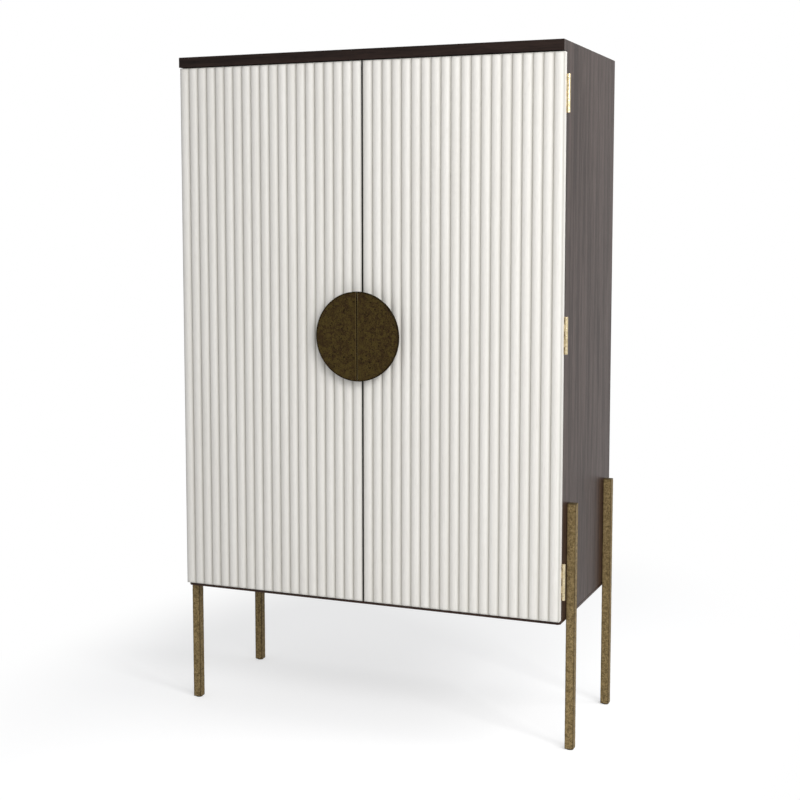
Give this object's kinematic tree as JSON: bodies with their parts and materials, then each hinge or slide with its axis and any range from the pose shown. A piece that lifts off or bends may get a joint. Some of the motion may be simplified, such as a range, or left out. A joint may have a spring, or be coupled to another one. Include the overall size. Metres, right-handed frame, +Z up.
{
  "type": "bar armoire",
  "caption": "Tall bar cabinet with a dark wood case on metal bar legs, white reeded doors on butt hinges and a round handle split between the doors.",
  "frame": {"origin": "on the floor under the middle of the whole cabinet, handle included", "axes": "+Z up, doors facing -Y, +X to the right for someone facing the doors"},
  "size_m": [1.06, 0.519, 1.702],
  "materials": {
    "case_wood": "satin",
    "inner_wood": "satin",
    "door_wood": "satin",
    "handle_bronze": "aged",
    "leg_brass": "aged",
    "hinge_brass": "polished",
    "steel": "brushed",
    "black_plastic": "matte"
  },
  "bodies": {
    "carcass": {"top_panel": "case_wood", "base_board": "case_wood", "side_panel_right": "case_wood", "side_panel_left": "case_wood", "back_panel": "inner_wood", "floor_panel": "inner_wood", "bar_deck": "inner_wood", "upper_shelf": "inner_wood", "lower_shelf": "inner_wood", "centre_partition": "inner_wood", "shelf_cleats": "inner_wood", "rack_upright_1": "inner_wood", "rack_upright_2": "inner_wood", "rack_upright_3": "inner_wood", "rack_tier_1": "inner_wood", "rack_tier_2": "inner_wood", "rack_tier_3": "inner_wood", "stemware_rack": "inner_wood", "top_hinge_frame_leaf_right": "hinge_brass", "middle_hinge_frame_leaf_right": "hinge_brass", "bottom_hinge_frame_leaf_right": "hinge_brass", "catch_right": "black_plastic", "leg_front_right": "leg_brass", "leg_rear_right": "leg_brass", "top_hinge_frame_leaf_left": "hinge_brass", "middle_hinge_frame_leaf_left": "hinge_brass", "bottom_hinge_frame_leaf_left": "hinge_brass", "catch_left": "black_plastic", "leg_front_left": "leg_brass", "leg_rear_left": "leg_brass", "foot_glides": "black_plastic"},
    "door_right": {"door_core_right": "door_wood", "reeded_face_right": "door_wood", "top_hinge_door_leaf_right": "hinge_brass", "middle_hinge_door_leaf_right": "hinge_brass", "bottom_hinge_door_leaf_right": "hinge_brass", "handle_right": "handle_bronze", "handle_posts_right": "handle_bronze", "strike_plate_right": "steel"},
    "door_left": {"door_core_left": "door_wood", "reeded_face_left": "door_wood", "top_hinge_door_leaf_left": "hinge_brass", "middle_hinge_door_leaf_left": "hinge_brass", "bottom_hinge_door_leaf_left": "hinge_brass", "handle_left": "handle_bronze", "handle_posts_left": "handle_bronze", "strike_plate_left": "steel"}
  },
  "joints": [
    {"name": "right_door_hinge", "type": "hinge", "parent": "carcass", "child": "door_right", "pos_m": [0.513, -0.204, 1.0043], "axis": [0, 0, 1], "range_deg": [0, 175]},
    {"name": "left_door_hinge", "type": "hinge", "parent": "carcass", "child": "door_left", "pos_m": [-0.513, -0.204, 1.0043], "axis": [0, 0, -1], "range_deg": [0, 175]}
  ]
}
